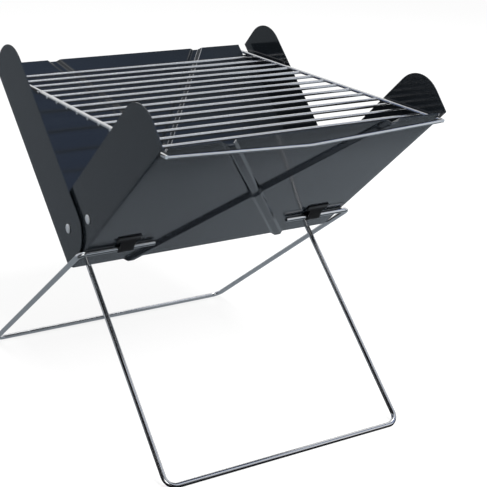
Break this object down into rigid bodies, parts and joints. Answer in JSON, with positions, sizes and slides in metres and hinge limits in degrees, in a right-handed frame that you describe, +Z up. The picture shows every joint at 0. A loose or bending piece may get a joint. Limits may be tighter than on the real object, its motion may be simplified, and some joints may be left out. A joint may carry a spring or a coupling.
{
  "type": "folding charcoal grill",
  "caption": "Folding charcoal grill: two hinged sheet trays open into a V trough under a wire grate and stand on two crossed wire legs that fold flat.",
  "frame": {"origin": "on the floor, under the middle of the outer box of the open grill", "axes": "+X along the trough, +Y from the front tray to the back tray, +Z up"},
  "size_m": [0.2912, 0.3576, 0.3241],
  "materials": {
    "slate_paint": "gloss dark slate coating",
    "bright_wire": "bright plated wire",
    "bright_rivet": "bright rivet",
    "black_clip": "satin black coating"
  },
  "bodies": {
    "back_tray": {"back_tray": "slate_paint", "pivot_rivet_left": "bright_rivet", "pivot_rivet_right": "bright_rivet", "pivot_washer_left": "bright_rivet", "pivot_washer_right": "bright_rivet", "front_leg_clip_left": "black_clip", "front_leg_clip_right": "black_clip"},
    "front_tray": {"front_tray": "slate_paint", "ear_rivet_left": "bright_rivet", "ear_rivet_right": "bright_rivet", "back_leg_clip_left": "black_clip", "back_leg_clip_right": "black_clip"},
    "back_leg": {"back_leg": "bright_wire"},
    "front_leg": {"front_leg": "bright_wire"},
    "grate": {"grate_side_left": "bright_wire", "grate_side_right": "bright_wire", "grate_front_bar": "bright_wire", "grate_rear_bar": "bright_wire", "grate_bar_01": "bright_wire", "grate_bar_02": "bright_wire", "grate_bar_03": "bright_wire", "grate_bar_04": "bright_wire", "grate_bar_05": "bright_wire", "grate_bar_06": "bright_wire", "grate_bar_07": "bright_wire", "grate_bar_08": "bright_wire", "grate_bar_09": "bright_wire", "grate_bar_10": "bright_wire", "grate_bar_11": "bright_wire", "grate_bar_12": "bright_wire", "grate_bar_13": "bright_wire", "grate_bar_14": "bright_wire"}
  },
  "joints": [
    {"name": "trough_fold", "type": "hinge", "parent": "back_tray", "child": "front_tray", "pos_m": [0, -0.01544, 0.18567], "axis": [-1, 0, 0], "range_deg": [0, 94.1]},
    {"name": "back_leg_fold", "type": "hinge", "parent": "front_tray", "child": "back_leg", "pos_m": [0, -0.0447, 0.17137], "axis": [-1, 0, 0], "range_deg": [0, 184]},
    {"name": "front_leg_fold", "type": "hinge", "parent": "back_tray", "child": "front_leg", "pos_m": [0, -0.00154, 0.15706], "axis": [1, 0, 0], "range_deg": [0, 177]},
    {"name": "grate_tilt", "type": "hinge", "parent": "back_tray", "child": "grate", "pos_m": [0, 0.14571, 0.28976], "axis": [-1, 0, 0], "range_deg": [0, 75.3]}
  ],
  "couplings": [
    {"joint": "grate_tilt", "follows": "trough_fold", "ratio": 0.8}
  ]
}
